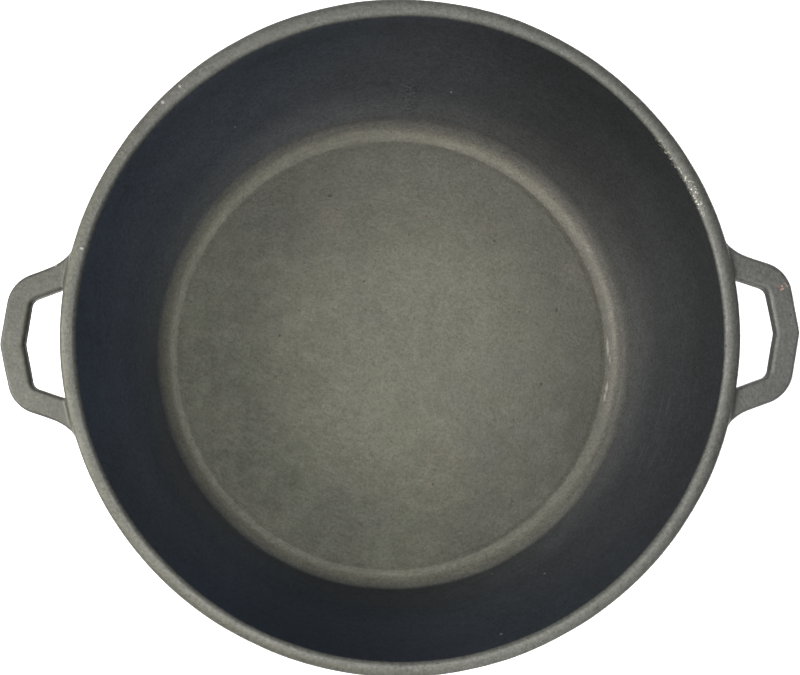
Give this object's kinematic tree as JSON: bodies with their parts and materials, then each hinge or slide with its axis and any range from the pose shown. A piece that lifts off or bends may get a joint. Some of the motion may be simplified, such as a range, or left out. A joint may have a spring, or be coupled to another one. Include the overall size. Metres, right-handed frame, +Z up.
{
  "type": "dutch oven pot",
  "caption": "Round cast iron dutch oven pot, open on top, with a flared wall, a raised flat cooking floor, a rounded lip and a loop handle on each side.",
  "frame": {"origin": "on the pot's vertical axis, in the plane of the face that it stands on", "axes": "+Z up towards the open rim, +X through the right handle, +Y away from the user"},
  "size_m": [0.3488, 0.2934, 0.117],
  "materials": {
    "cast_iron_rim": "seasoned cast iron, fine sand-cast grain, slightly polished where it is rubbed",
    "cast_iron_wall": "seasoned cast iron, dark and matte, fine sand-cast grain",
    "cast_iron_floor": "seasoned cast iron, matte olive grey, mottled, fine sand-cast grain",
    "cast_iron_handle": "seasoned cast iron, matte, fine sand-cast grain"
  },
  "bodies": {
    "root": {"rim_lip": "cast_iron_rim", "pot_wall": "cast_iron_wall", "pot_base": "cast_iron_floor", "foot_ring": "cast_iron_wall", "handle_left": "cast_iron_handle", "handle_right": "cast_iron_handle"}
  },
  "joints": []
}
